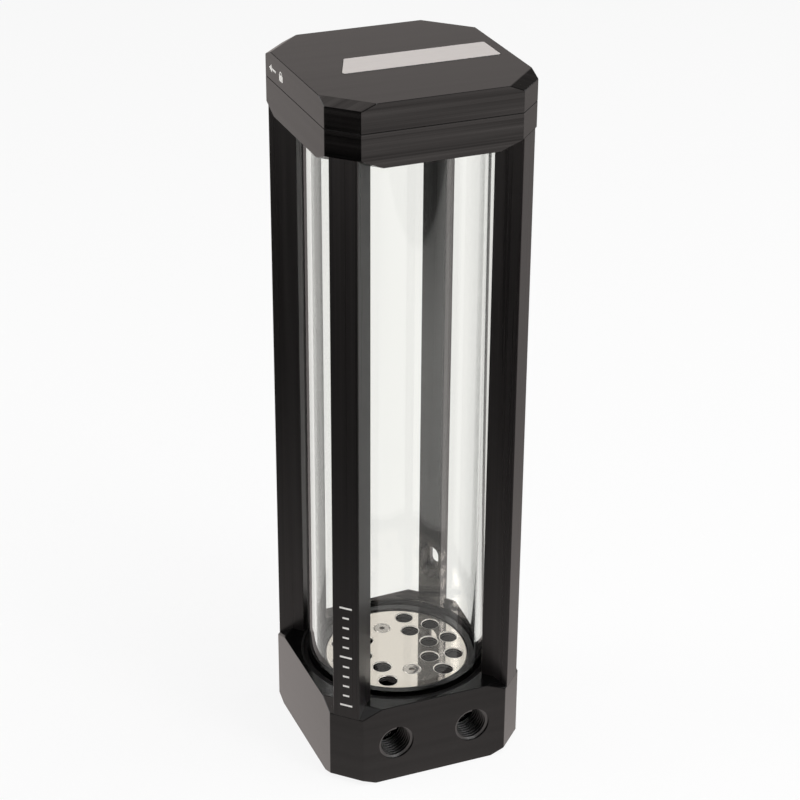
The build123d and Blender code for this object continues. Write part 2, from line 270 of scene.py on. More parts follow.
# %% The table's light in reflections
# Each fade is read as: a distance in metres, where it starts and ends, and the light at those two places.
dark_corner = Vector((-0.50, -0.23, 0))
floor_paint, tree = new_material("floor_white_paper")
place = node(tree, "ShaderNodeTexCoord").outputs["Object"]
spot = node(tree, "ShaderNodeSeparateXYZ", [place]).outputs
is_sharp = node(tree, "ShaderNodeLightPath").outputs["Is Singular Ray"]
from_dark = node(tree, "ShaderNodeVectorMath", [place, dark_corner], operation="DISTANCE")
from_middle = node(tree, "ShaderNodeVectorMath", [place], operation="LENGTH")
out_of_dark = node(tree, "ShaderNodeMapRange", [from_dark, 0.17, 0.62, 0.0, 1.0], **smooth)
near_pool = node(tree, "ShaderNodeMapRange", [from_middle, 0.03, 0.30, 1.1, 0.7], **smooth)
front_rise = node(tree, "ShaderNodeMapRange", [spot["Y"], -0.45, -0.10, 1.7, 0.0], **smooth)
right_fall = node(tree, "ShaderNodeMapRange", [spot["X"], -0.01, 0.09, 1.0, 0.7], **smooth)
table_end = node(tree, "ShaderNodeMapRange", [spot["Y"], -0.515, -0.495, 0.0, 1.0], **smooth)
glass_dark = node(tree, "ShaderNodeMapRange", [from_dark, 0.09, 0.32, 0.12, 1.0], **smooth)

is_blurred = node(tree, "ShaderNodeMath", [1.0, is_sharp], operation="SUBTRACT")
blurred_rise = node(tree, "ShaderNodeMath", [front_rise, is_blurred], operation="MULTIPLY")
sharp_end = node(tree, "ShaderNodeMix", {0: is_sharp, 2: 1.0, 3: table_end}, data_type="FLOAT")
table_light = node(tree, "ShaderNodeMath", [near_pool, blurred_rise], operation="ADD")
for part in (out_of_dark, right_fall, sharp_end):
    table_light = node(tree, "ShaderNodeMath", [table_light, part], operation="MULTIPLY")

# %% The table through glass, and its shadow
shadow_kept = 0.12
in_glass = node(tree, "ShaderNodeMath", [table_end, glass_dark], operation="MULTIPLY")
in_glass = node(tree, "ShaderNodeMath", [in_glass, backdrop_light(tree, place)], operation="MULTIPLY")
paper = node(tree, "ShaderNodeBsdfDiffuse", {"Color": colour("#e8e8e8")})
is_camera, mixed, camera_white = seen_by_rays(tree, in_glass, table_light, "ShaderNodeEmission", paper)
camera_share = node(tree, "ShaderNodeMath", [is_camera, 1 - shadow_kept], operation="MULTIPLY")
mix = node(tree, "ShaderNodeMixShader", [camera_share, mixed, camera_white])
node(tree, "ShaderNodeOutputMaterial", [mix])
floor_mesh.materials.append(floor_paint)
print("floor nodes", len(tree.nodes))

# %% World
# The wall and the ceiling fade with the cosine of the angle from their middles.
wall_behind = Vector((0.05, 0.80, 0.60)).normalized()
ceiling = Vector((-0.23, 0.25, 0.94)).normalized()
world = bpy.data.worlds.new("studio")
bpy.context.scene.world = world
world.use_nodes = True
tree = world.node_tree
tree.nodes.clear()
heading = node(tree, "ShaderNodeTexCoord").outputs["Generated"]
to_wall = node(tree, "ShaderNodeVectorMath", [heading, wall_behind], operation="DOT_PRODUCT")
to_ceiling = node(tree, "ShaderNodeVectorMath", [heading, ceiling], operation="DOT_PRODUCT")
wall_part = node(tree, "ShaderNodeMapRange", [to_wall, 0.62, 0.96, 0.06, 0.60], **smooth)
ceiling_part = node(tree, "ShaderNodeMapRange", [to_ceiling, 0.75, 0.96, 0.0, 1.2], **smooth)
room_light = node(tree, "ShaderNodeMath", [wall_part, ceiling_part], operation="ADD")
dim = node(tree, "ShaderNodeBackground", {"Color": colour("#ffffff"), "Strength": 0.22})
in_glass = backdrop_light(tree, heading)
is_camera, mixed, camera_white = seen_by_rays(tree, in_glass, room_light, "ShaderNodeBackground", dim)
mix = node(tree, "ShaderNodeMixShader", [is_camera, mixed, camera_white])
node(tree, "ShaderNodeOutputWorld", [mix])

bpy.context.scene.view_settings.view_transform = "Standard"
print("world nodes", len(tree.nodes))

# %% [markdown]
# ## Black anodised aluminium
# The blocks are milled from bar and the struts are cut from extruded bar, and then all are anodised
# black. The oxide is a thin dark glassy skin over a surface that keeps the cutter's fine parallel lines,
# so a face is satin and streaked along the cut. A picture of brushed metal could be laid on each face,
# but it would stretch and show seams, so the lines are noise drawn out along the cut. There are two
# sizes: fine tool lines, and the broad soft bands that one pass of the cutter leaves. The real lines are
# a few hundredths of a millimetre wide. Here they are drawn half a millimetre wide, so that they show at
# this distance. They run level on the walls and along X on the top, or upright on the struts, so the
# pattern looks at the face's normal to choose its directions.

# %% Directions of the cut
top_tilt = 0.8


def cut_directions(tree, upright):
    """Two lengths on the face, along the cut and across it. Upright turns the cut along Z on walls."""
    place = node(tree, "ShaderNodeTexCoord").outputs
    spot = node(tree, "ShaderNodeSeparateXYZ", [place["Object"]]).outputs
    facing = node(tree, "ShaderNodeSeparateXYZ", [place["Normal"]]).outputs
    level = node(tree, "ShaderNodeVectorMath", [(0, 0, 1), place["Normal"]], operation="CROSS_PRODUCT")
    run = node(tree, "ShaderNodeVectorMath", [place["Object"], level], operation="DOT_PRODUCT")
    tilt = node(tree, "ShaderNodeMath", [facing["Z"]], operation="ABSOLUTE")
    is_top = node(tree, "ShaderNodeMath", [tilt, top_tilt], operation="GREATER_THAN")
    on_wall = [spot["Z"], run] if upright else [run, spot["Z"]]
    return [
        node(tree, "ShaderNodeMix", {0: is_top, 2: wall_value, 3: top_value}, data_type="FLOAT")
        for wall_value, top_value in zip(on_wall, (spot["X"], spot["Y"]))
    ]


def streaks(tree, directions, length, width, detail):
    """Noise drawn out along the cut, with streaks of this length and width."""
    stretched = [
        node(tree, "ShaderNodeMath", [direction, 1 / size], operation="MULTIPLY")
        for direction, size in zip(directions, (length, width))
    ]
    where = node(tree, "ShaderNodeCombineXYZ", stretched)
    settings = {"Vector": where, "Scale": 1.0, "Detail": detail, "Roughness": 0.5}
    return node(tree, "ShaderNodeTexNoise", settings, noise_dimensions="2D")


# %% [markdown]
# ### Painted shade at edges and seams
# A block's broken edges are thin dark lines, and so are its port mouths, the seam under the lid and the
# rim round the glass, and the ends of the struts, which stand on sloping seats, where shade falls in
# narrow gaps. Gaps that thin could be cut in the mesh, but the solids already have the right shape
# there, so the material turns matt black in a narrow zone instead: painted shade. Each zone is a rule on
# the face's normal or on its place.

# %% Painted shade on the blocks
diagonal = math.sqrt(0.5)
rim_radius = 34.3 * mm
port_zone = 0.7 * half_width


def painted_gap_shade(tree):
    """Painted shade: one on the blocks' broken edges, port mouths, lid seam and glass rim, else zero."""
    place = node(tree, "ShaderNodeTexCoord").outputs
    spot = node(tree, "ShaderNodeSeparateXYZ", [place["Object"]]).outputs
    facing = node(tree, "ShaderNodeSeparateXYZ", [place["Normal"]]).outputs
    up_part = node(tree, "ShaderNodeMath", [facing["Z"]], operation="ABSOLUTE")
    side_part = node(tree, "ShaderNodeMath", [facing["Y"]], operation="ABSOLUTE")
    sideways = node(tree, "ShaderNodeMath", [spot["X"]], operation="ABSOLUTE")
    flat = node(tree, "ShaderNodeCombineXYZ", [spot["X"], spot["Y"]])
    outward = node(tree, "ShaderNodeVectorMath", [flat], operation="LENGTH")

    on_break = node(tree, "ShaderNodeMath", [up_part, diagonal, 0.05], operation="COMPARE")
    on_seam = node(tree, "ShaderNodeMath", [spot["Z"], lid_low.z, 0.16 * mm], operation="COMPARE")
    turned_out = node(tree, "ShaderNodeMath", [side_part, diagonal, 0.05], operation="COMPARE")
    by_port = node(tree, "ShaderNodeMath", [sideways, port_zone], operation="LESS_THAN")
    on_mouth = node(tree, "ShaderNodeMath", [by_port, turned_out], operation="MULTIPLY")
    on_top = node(tree, "ShaderNodeMath", [spot["Z"], base_high.z, 0.1 * mm], operation="COMPARE")
    by_glass = node(tree, "ShaderNodeMath", [outward, rim_radius, 0.7 * mm], operation="COMPARE")
    on_rim = node(tree, "ShaderNodeMath", [by_glass, on_top], operation="MULTIPLY")
    found = on_break
    for zone in (on_seam, on_mouth, on_rim):
        found = node(tree, "ShaderNodeMath", [found, zone], operation="MAXIMUM")
    return found


# %% Painted shade on the struts
seat_slope = math.radians(30)
seat_height = base_high.z - 3.05 * mm
seat_reach = (2 * half_width - 9.0 * mm) / math.sqrt(2)
seam_width = 0.25 * mm
bay_middle = (glass_low.z + glass_high.z) / 2
seat_level = seat_reach * math.sin(seat_slope) - (seat_height - bay_middle) * math.cos(seat_slope)


def painted_seam_shade(tree):
    """Painted shade, one on the struts' ends, a hair's breadth from the sloping seats in the two blocks.
    """
    place = node(tree, "ShaderNodeTexCoord").outputs["Object"]
    spot = node(tree, "ShaderNodeSeparateXYZ", [place]).outputs
    out_x, out_y = (node(tree, "ShaderNodeMath", [spot[a]], operation="ABSOLUTE") for a in ("X", "Y"))
    both = node(tree, "ShaderNodeMath", [out_x, out_y], operation="ADD")
    outward = node(tree, "ShaderNodeMath", [both, diagonal], operation="MULTIPLY")
    height = node(tree, "ShaderNodeMath", [spot["Z"], bay_middle], operation="SUBTRACT")
    from_middle = node(tree, "ShaderNodeMath", [height], operation="ABSOLUTE")
    slope_part = node(tree, "ShaderNodeMath", [outward, math.sin(seat_slope)], operation="MULTIPLY")
    height_part = node(tree, "ShaderNodeMath", [from_middle, math.cos(seat_slope)], operation="MULTIPLY")
    level = node(tree, "ShaderNodeMath", [slope_part, height_part], operation="SUBTRACT")
    above_seat = node(tree, "ShaderNodeMath", [level, seat_level], operation="SUBTRACT")
    distance = node(tree, "ShaderNodeMath", [above_seat], operation="ABSOLUTE")
    return node(tree, "ShaderNodeMath", [distance, seam_width], operation="LESS_THAN")


# %% [markdown]
# ### Three finishes from one recipe
# The collar and the lid are planed and are the shiniest, with thin oxide that lets the metal through in
# bands. The base is milled and more even. The struts are extruded and the most matt, with a grey bloom.
# To the eye all are the same black, and what tells them apart is how sharply they mirror the table.

# %% The recipe
line_length, line_width, line_detail = 150 * mm, 0.5 * mm, 1.0
band_length, band_width, band_detail = 260 * mm, 3.2 * mm, 2.0
noise_low, noise_high = 0.3, 0.7
relief_depth, relief_strength = 0.01 * mm, 0.06
# Painted shade: the black that the seams, gaps and broken edges turn.
painted_shade_black = colour("#040404")


def anodising(name, tones, index, roughness, line_share, bare_share, painted_shade_places, upright=False):
    """Black anodised aluminium, fine tool lines and broad bands along the cut, painted shade at its
    edges.
    """
    material, tree = new_material(name)
    directions = cut_directions(tree, upright)
    lines = streaks(tree, directions, line_length, line_width, line_detail)
    bands = streaks(tree, directions, band_length, band_width, band_detail)
    line_part = node(tree, "ShaderNodeMath", [lines, line_share], operation="MULTIPLY")
    band_part = node(tree, "ShaderNodeMath", [bands, 1 - line_share], operation="MULTIPLY")
    both = node(tree, "ShaderNodeMath", [line_part, band_part], operation="ADD")
    strength = node(tree, "ShaderNodeMapRange", [both, noise_low, noise_high])
    dark, light = (colour(tone) for tone in tones)
    tone = node(tree, "ShaderNodeMix", {0: strength, 6: dark, 7: light}, data_type="RGBA")
    satin = node(tree, "ShaderNodeMapRange", [strength, 0.0, 1.0, *roughness])
    bare = node(tree, "ShaderNodeMapRange", [strength, 0.0, 1.0, bare_share, 0.0])
    in_painted_shade = painted_shade_places(tree)
    relief = {"Height": both, "Strength": relief_strength, "Distance": relief_depth}
    surface = {
        "Base Color": node(tree, "ShaderNodeMix", {0: in_painted_shade, 6: tone, 7: painted_shade_black}, data_type="RGBA"),
        "Metallic": bare,
        "IOR": index,
        "Roughness": node(tree, "ShaderNodeMath", [satin, in_painted_shade], operation="MAXIMUM"),
        "Normal": node(tree, "ShaderNodeBump", relief),
    }
    node(tree, "ShaderNodeOutputMaterial", [node(tree, "ShaderNodeBsdfPrincipled", surface)])
    return material


block_tones = ("#040404", "#0b0a0a")
strut_tones = ("#161414", "#1d1b1b")
planed_black = anodising(
    "anodised_aluminium_planed", block_tones, 1.46, (0.10, 0.22), 0.3, 0.65, painted_gap_shade
)
milled_black = anodising(
    "anodised_aluminium_milled", block_tones, 1.43, (0.13, 0.22), 0.2, 0.15, painted_gap_shade
)
extruded_black = anodising(
    "anodised_aluminium_extruded", strut_tones, 1.41, (0.26, 0.33), 0.3, 0.15, painted_seam_shade, upright=True
)


# %% Give the blocks and struts their finish
def dress(names, material):
    """Gives CAD pieces a material."""
    for name in names:
        piece = solids[name]
        piece.data.materials.clear()
        piece.data.materials.append(material)


struts = ["strut_front_left", "strut_front_right", "strut_back_left", "mounting_strut"]
dress(["base_block"], milled_black)
dress(["top_collar", "lid_cap"], planed_black)
dress(struts, extruded_black)
print("dressed", 3 + len(struts), "blocks and struts")

# %% [markdown]
# ## Glass
# The tube is drawn clear glass with a thick wall and ground ends. Clear glass has almost no colour, so
# its look is all refraction, and that needs a smooth surface. The solid's tube could be used as it is,
# but its flat facets would show as stripes, so a finely turned tube stands in for it. A little grey-green
# is lost inside the wall, which darkens the tube where the eye looks along the wall at its two sides.

# %% Turned profiles
crease = math.radians(30)


def turn_profile(shape, profile, steps, closed):
    """Turns (radius, height) points round the vertical axis. An open profile ends on the axis."""
    rings = []
    for radius, height in profile:
        angles = [2 * math.pi * i / steps for i in range(steps if radius else 1)]
        places = [(radius * math.cos(a), radius * math.sin(a), height) for a in angles]
        rings.append([shape.verts.new(place) for place in places])
    next_rings = rings[1:] + rings[:1] if closed else rings[1:]
    for low, high in zip(rings, next_rings):
        for i in range(steps):
            j = (i + 1) % steps
            corners = [low[i % len(low)], low[j % len(low)], high[j % len(high)], high[i % len(high)]]
            shape.faces.new(list(dict.fromkeys(corners)))


def closed_mesh(name, shape):
    """Turns every face of a closed shape outwards and returns it as a mesh."""
    bmesh.ops.recalc_face_normals(shape, faces=shape.faces)
    mesh = bpy.data.meshes.new(name)
    shape.to_mesh(mesh)
    shape.free()
    return mesh


def smooth_but(mesh, angle):
    """Smooth shading, with edges past this angle kept sharp."""
    mesh.shade_smooth()
    mesh.set_sharp_from_angle(angle=angle)
    return mesh


def turned_ring(name, profile, steps):
    """Closed profile turned into a ring or tube."""
    shape = bmesh.new()
    turn_profile(shape, profile, steps, closed=True)
    return smooth_but(closed_mesh(name, shape), crease)


# %% The tube
glass_wall = 3.2 * mm
ground_edge = 0.3 * mm
inner_radius = glass_radius - glass_wall
tube_profile = [
    (inner_radius + ground_edge, glass_low.z),
    (glass_radius - ground_edge, glass_low.z),
    (glass_radius, glass_low.z + ground_edge),
    (glass_radius, glass_high.z - ground_edge),
    (glass_radius - ground_edge, glass_high.z),
    (inner_radius + ground_edge, glass_high.z),
    (inner_radius, glass_high.z - ground_edge),
    (inner_radius, glass_low.z + ground_edge),
]

clear_glass, tree = new_material("glass_clear_polished")
glass_look = {"Base Color": colour("#ffffff"), "Roughness": 0.0, "IOR": 1.5, "Transmission Weight": 1.0}
surface = node(tree, "ShaderNodeBsdfPrincipled", glass_look)
lost_inside = node(tree, "ShaderNodeVolumeAbsorption", {"Color": colour("#cbd2c8"), "Density": 7.0})
node(tree, "ShaderNodeOutputMaterial", {"Surface": surface, "Volume": lost_inside})

tube = new_piece("clear_tube", turned_ring("clear_tube", tube_profile, 256), "frame", clear_glass)
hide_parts("glass_tube")
print("tube faces", len(tube.data.polygons))

# %% [markdown]
# ## Steel, rubber and plastic
# The flow plate is polished stainless sheet. It mirrors what stands round it, a little bent, because
# sheet waves over a few millimetres. The cut edges of its holes are rough and scatter light, and they
# are painted a lighter steel than the sheet, a painted highlight, so they look white. The screws are
# duller stainless, or black oxide where they are hidden. The seals are dull black nitrile rubber,
# painted darker still and given a weak gleam, as painted shade of the pockets they sit in, and the
# plug is turned acetal, a hard waxy plastic. Each could have a tree of its own, but all share one
# recipe with their own colour, gloss and size of grain.

# %% Plain finishes
grain_low, grain_high = 0.8, 1.25
grain_strength = 0.2


def plain(name, base, metallic, roughness, grain, depth, gloss=0.5):
    """One finish, its roughness varied by a grain of this size, which also dents it to this depth."""
    material, tree = new_material(name)
    place = node(tree, "ShaderNodeTexCoord").outputs["Object"]
    noise = node(tree, "ShaderNodeTexNoise", {"Vector": place, "Scale": 1 / grain, "Detail": 2.0})
    rough_ends = (roughness * grain_low, roughness * grain_high)
    relief = {"Height": noise, "Strength": grain_strength, "Distance": depth}
    surface = {
        "Base Color": colour(base),
        "Metallic": metallic,
        "Specular IOR Level": gloss,
        "Roughness": node(tree, "ShaderNodeMapRange", [noise, 0.0, 1.0, *rough_ends]),
        "Normal": node(tree, "ShaderNodeBump", relief),
    }
    node(tree, "ShaderNodeOutputMaterial", [node(tree, "ShaderNodeBsdfPrincipled", surface)])
    return material


polished_steel = plain("stainless_steel_polished", "#e0d9d0", 1.0, 0.05, 6.0 * mm, 0.0005 * mm)
# Lighter than the polished sheet: a painted highlight on the holes' rims.
cut_steel_highlight = plain("stainless_steel_cut_highlight", "#f2ede6", 1.0, 0.5, 0.2 * mm, 0.002 * mm)
screw_steel = plain("stainless_steel_screw", "#b4afa9", 1.0, 0.16, 0.5 * mm, 0.002 * mm)
oxide_steel = plain("steel_black_oxide", "#2c2a28", 1.0, 0.4, 0.5 * mm, 0.005 * mm)
# Darker than the rubber is and with a weak gleam: painted shade of the pockets the seals sit in.
shaded_seal_rubber = plain("nitrile_rubber_shaded", "#050505", 0.0, 0.6, 0.4 * mm, 0.01 * mm, gloss=0.1)
plug_acetal = plain("acetal_turned", "#161616", 0.0, 0.35, 0.4 * mm, 0.01 * mm)

dress(["base_glass_gasket", "collar_glass_gasket"], shaded_seal_rubber)
dress(["lid_plug"], plug_acetal)
print("gaskets and plug dressed")

# %% [markdown]
# ## Round seals
# The O-rings' solids have an eight-sided section. A real one is a smooth round cord, and its gleam shows
# every facet. A Subdivision modifier would round it and shrink it too, so each ring is turned again here
# with a fine section, in the room that its solid has.

# %% O-rings
section_steps = 16
ring_steps = 128


def round_seal(node_name, piece_name, body):
    """Smooth O-ring in the place of a solid one."""
    low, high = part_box(node_name)
    section = (high.z - low.z) / 2
    centre_radius = high.x - section
    centre_height = (high.z + low.z) / 2
    angles = [2 * math.pi * i / section_steps for i in range(section_steps)]
    profile = [
        (centre_radius + section * math.cos(a), centre_height + section * math.sin(a)) for a in angles
    ]
    seal = new_piece(piece_name, turned_ring(piece_name, profile, ring_steps), body, shaded_seal_rubber)
    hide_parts(node_name)
    print(piece_name, "across", round(2 * high.x / mm, 2), "section", round(2 * section / mm, 2))


round_seal("base_o_ring", "base_seal", "frame")
round_seal("collar_o_ring", "collar_seal", "frame")
round_seal("lid_o_ring", "lid_seal_ring", "lid_seal")


# %% [markdown]
# ## Geometry Nodes, and how a result is kept
# Screws, holes, tick marks and threads repeat by rule. A loop in Python could place them, but a tree of
# nodes keeps the rule in one place, with named inputs for its sizes. Its result is turned into a plain
# mesh straight away, because the finished model can't carry the tree.

# %% Trees and their results
def new_tree(name, **sizes):
    """Geometry tree with one input for each size, or for an object where None is given."""
    tree = bpy.data.node_groups.new(name, "GeometryNodeTree")
    tree.interface.new_socket("Geometry", in_out="OUTPUT", socket_type="NodeSocketGeometry")
    kinds = {int: "NodeSocketInt", float: "NodeSocketFloat", type(None): "NodeSocketObject"}
    for size_name, value in sizes.items():
        socket = tree.interface.new_socket(size_name, in_out="INPUT", socket_type=kinds[type(value)])
        if value is not None:
            socket.default_value = value
    return tree, node(tree, "NodeGroupInput").outputs


def close_tree(tree, geometry, material):
    """Ends the tree with real geometry and its material."""
    real = node(tree, "GeometryNodeRealizeInstances", [geometry])
    finished = node(tree, "GeometryNodeSetMaterial", {"Geometry": real, "Material": material})
    node(tree, "NodeGroupOutput", [finished])


def grown(tree, name, **sizes):
    """Runs a tree with these sizes and returns its result as a plain mesh."""
    holder = bpy.data.objects.new(name, bpy.data.meshes.new(name))
    bpy.context.scene.collection.objects.link(holder)
    modifier = holder.modifiers.new("shape", "NODES")
    modifier.node_group = tree
    for item in tree.interface.items_tree:
        if item.name in sizes:
            modifier[item.identifier] = sizes[item.name]
    graph = bpy.context.evaluated_depsgraph_get()
    mesh = bpy.data.meshes.new_from_object(holder.evaluated_get(graph), depsgraph=graph)
    bpy.data.objects.remove(holder)
    mesh.name = name
    return mesh


# %% [markdown]
# ## Port threads
# Each port has a G1/4 thread, 19 turns to the inch, so that a fitting screws in. The solid's bore is as
# wide as the bottom of the thread. The turns could be bump in the material, but they show as a saw edge
# in the mouth, which bump can't give. So a ridge is swept along a spiral on that wall, down to the
# thread's inner diameter. Nodes suit this well: turns, pitch and profile are a few numbers. A cut thread
# is smoother than the walls, so its finish is glossier, and the crests gleam in the dark of the bore.

# %% Thread tree
cut_black = plain("anodised_aluminium_thread", "#0c0b0b", 0.0, 0.34, 0.5 * mm, 0.001 * mm, gloss=1.0)
thread_pitch = 25.4 / 19 * mm
thread_depth = 0.86 * mm
ridge_sink = 0.05 * mm
foot_share = 0.46
top_share = 0.18
turn_steps = 56
thread_tree, size = new_tree(
    "inner_thread", Radius=6.58 * mm, Pitch=thread_pitch, Turns=8.0, Depth=thread_depth
)
climb = node(thread_tree, "ShaderNodeMath", [size["Turns"], size["Pitch"]], operation="MULTIPLY")
spiral = node(
    thread_tree, "GeometryNodeCurveSpiral",
    {
        "Resolution": turn_steps,
        "Rotations": size["Turns"],
        "Start Radius": size["Radius"],
        "End Radius": size["Radius"],
        "Height": climb,
    },
)
level_course = node(thread_tree, "GeometryNodeSetCurveNormal", {"Curve": spiral}, mode="Z_UP")
ridge_corners = [
    (-ridge_sink, foot_share),
    (-ridge_sink, -foot_share),
    (size["Depth"], -top_share),
    (size["Depth"], top_share),
]
corners = {}
for number, (inward, pitch_share) in enumerate(ridge_corners, start=1):
    along = node(thread_tree, "ShaderNodeMath", [size["Pitch"], pitch_share], operation="MULTIPLY")
    corners[f"Point {number}"] = node(thread_tree, "ShaderNodeCombineXYZ", [inward, along])
profile = node(thread_tree, "GeometryNodeCurvePrimitiveQuadrilateral", corners, mode="POINTS")
swept = {"Curve": level_course, "Profile Curve": profile, "Fill Caps": True}
close_tree(thread_tree, node(thread_tree, "GeometryNodeCurveToMesh", swept), cut_black)
print("pitch", round(thread_pitch / mm, 3), "mm")

# %% Cut the threads in both ports
mouth_room = 0.62 * mm
thread_crease = math.radians(25)
for port_name, port in ports.items():
    room = port["dims"]["length_mm"] * mm - 2 * mouth_room
    turns = room / thread_pitch
    mesh = grown(thread_tree, port_name + "_thread", Radius=port["dims"]["r_mm"] * mm, Turns=turns)
    inward = -Vector(port["axis"])
    turn_in = inward.to_track_quat("Z", "X").to_matrix().to_4x4()
    mesh.transform(Matrix.Translation(Vector(port["pos_m"]) + inward * mouth_room) @ turn_in)
    thread = new_piece(port_name + "_thread", smooth_but(mesh, thread_crease), "frame", cut_black)
    print(port_name, "turns", round(turns, 1), "faces", len(mesh.polygons))

# %% [markdown]
# ## Flow plate
# The plate is sheet with two groups of eight holes, one over each chamber, and two countersunk screws.
# Its holes are cut with a small break at the edge, and in polished steel that break is the brightest
# line there is. Sixteen Boolean cuts would make the holes too, with untidy faces that a Bevel can't
# follow. So the tree draws the outline and the holes as circles, fills between them and pulls the fill
# down to the sheet's thickness, and a Bevel modifier then breaks the edges.

# %% Points on a ring
def ring_points(tree, radius, count, first_angle, step):
    """Points on part of a ring, count of them, from first_angle on."""
    index = node(tree, "GeometryNodeInputIndex")
    turn = node(tree, "ShaderNodeMath", [index, step], operation="MULTIPLY")
    angle = node(tree, "ShaderNodeMath", [turn, first_angle], operation="ADD")
    place = []
    for side in ("COSINE", "SINE"):
        share = node(tree, "ShaderNodeMath", [angle], operation=side)
        place.append(node(tree, "ShaderNodeMath", [radius, share], operation="MULTIPLY"))
    spot = node(tree, "ShaderNodeCombineXYZ", place)
    return node(tree, "GeometryNodePoints", {"Count": count, "Position": spot})


# %% Plate tree
hole_steps = 48
rim_steps = 192
plate_tree, size = new_tree(
    "drilled_plate", Radius=26.1 * mm, Thickness=1.5 * mm, Hole=3.25 * mm, OuterRing=21.1 * mm,
    InnerRing=13.1 * mm, ScrewRing=14.6 * mm, ScrewHole=3.06 * mm,
)
rim = {"Resolution": rim_steps, "Radius": size["Radius"]}
outlines = [node(plate_tree, "GeometryNodeCurvePrimitiveCircle", rim)]
groups = []
for side in (0, 180):
    groups.append((size["OuterRing"], size["Hole"], 5, side - 60, 30))
    groups.append((size["InnerRing"], size["Hole"], 3, side - 45, 45))
groups.append((size["ScrewRing"], size["ScrewHole"], 2, 90, 180))
for ring_radius, hole_radius, count, first_degrees, step_degrees in groups:
    points = ring_points(
        plate_tree, ring_radius, count, math.radians(first_degrees), math.radians(step_degrees)
    )
    hole = {"Resolution": hole_steps, "Radius": hole_radius}
    circle = node(plate_tree, "GeometryNodeCurvePrimitiveCircle", hole)
    holes = {"Points": points, "Instance": circle}
    outlines.append(node(plate_tree, "GeometryNodeInstanceOnPoints", holes))
every_outline = node(plate_tree, "GeometryNodeJoinGeometry")
for outline in outlines:
    plate_tree.links.new(outline.outputs[0], every_outline.inputs[0])
loose_curves = node(plate_tree, "GeometryNodeRealizeInstances", [every_outline])
sheet = node(plate_tree, "GeometryNodeFillCurve", {"Curve": loose_curves}, mode="NGONS")
down = node(plate_tree, "ShaderNodeCombineXYZ", {"Z": -1.0})
pull = {"Mesh": sheet, "Offset": down, "Offset Scale": size["Thickness"], "Individual": False}
pulled = node(plate_tree, "GeometryNodeExtrudeMesh", pull)
both_sides = node(plate_tree, "GeometryNodeJoinGeometry")
for part in (pulled, sheet):
    plate_tree.links.new(part.outputs[0], both_sides.inputs[0])
sewn = node(plate_tree, "GeometryNodeMergeByDistance", {"Geometry": both_sides, "Distance": 0.001 * mm})
close_tree(plate_tree, sewn, polished_steel)
print("plate outlines", len(outlines))

# %% Make the plate
plate_low, plate_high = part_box("flow_plate")
plate_sizes = {"Radius": plate_high.x, "Thickness": plate_high.z - plate_low.z}
shape = bmesh.new()
shape.from_mesh(grown(plate_tree, "drilled_plate", **plate_sizes))
bmesh.ops.remove_doubles(shape, verts=shape.verts, dist=0.001 * mm)
plate_mesh = closed_mesh("drilled_plate", shape)
plate_mesh.transform(Matrix.Translation((0, 0, plate_high.z)))
plate = new_piece("drilled_plate", plate_mesh, "frame", polished_steel)
plate_mesh.materials.append(cut_steel_highlight)
edge = plate.modifiers.new("edge_break", "BEVEL")
edge.width = 0.35 * mm
edge.material = 1
edge.segments = 2
edge.use_clamp_overlap = False
edge.limit_method = "ANGLE"
edge.angle_limit = math.radians(50)
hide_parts("flow_plate")
print("plate faces", len(plate_mesh.polygons))

# %% [markdown]
# ## Screws
# There are two kinds of screw, M4 cap screws in the struts and M3 countersunk screws in the plate and
# the lid. The solids' screws have faceted heads and square edges, which small bright steel shows at
# once. Each kind is turned once from its profile, with a hexagon pressed in its head, and one tree puts
# copies of it on a ring. Their threads are hidden in the metal, so the shafts stay plain.

# %% One screw of each kind
edge_round = 0.25 * mm
flat_screw = {
    "head_radius": 3.0 * mm, "key_across": 2.0 * mm, "key_depth": 1.2 * mm,
    "shaft_radius": 1.5 * mm, "pitch": 0.5 * mm,
    "head": [
        (2.5 * mm, 0),
        (2.85 * mm, -0.12 * mm),
        (3.0 * mm, -0.3 * mm),
        (1.4 * mm, -1.6 * mm),
        (1.3 * mm, -1.9 * mm),
    ],
}
cap_screw = {
    "head_radius": 3.5 * mm, "key_across": 3.0 * mm, "key_depth": 1.9 * mm,
    "shaft_radius": 2.0 * mm, "pitch": 0.7 * mm,
    "head": [
        (3.5 * mm - edge_round, 0),
        (3.5 * mm, -edge_round),
        (3.5 * mm, -4.0 * mm + edge_round),
        (3.5 * mm - edge_round, -4.0 * mm),
        (1.8 * mm, -4.0 * mm),
    ],
}
screw_steps = 36
sixth = math.pi / 3


def screw_mesh(kind, length):
    """Screw of this length over all, with its head's top at height 0 and its thread down -Z.

    The socket's floor is dished, its wall is drawn in to a hexagon, and the shaft ends in a small cone.
    """
    key_radius = kind["key_across"] / math.sqrt(3)
    depth, pitch = kind["key_depth"], kind["pitch"]
    socket = [(0, -depth * 1.15), (key_radius * 0.9, -depth), (key_radius, -depth * 0.9), (key_radius, 0)]
    tip = [(kind["shaft_radius"] - pitch * 0.6, -length + pitch * 0.2), (0, -length)]
    shape = bmesh.new()
    turn_profile(shape, socket + kind["head"] + tip, screw_steps, closed=False)
    for vertex in shape.verts:
        radius = math.hypot(vertex.co.x, vertex.co.y)
        if radius and radius <= key_radius * 1.001 and vertex.co.z > -depth * 1.05:
            angle = (math.atan2(vertex.co.y, vertex.co.x) + 2 * math.pi) % sixth - sixth / 2
            shrink = math.cos(sixth / 2) / math.cos(angle)
            vertex.co.x *= shrink
            vertex.co.y *= shrink
    return closed_mesh("screw", shape)


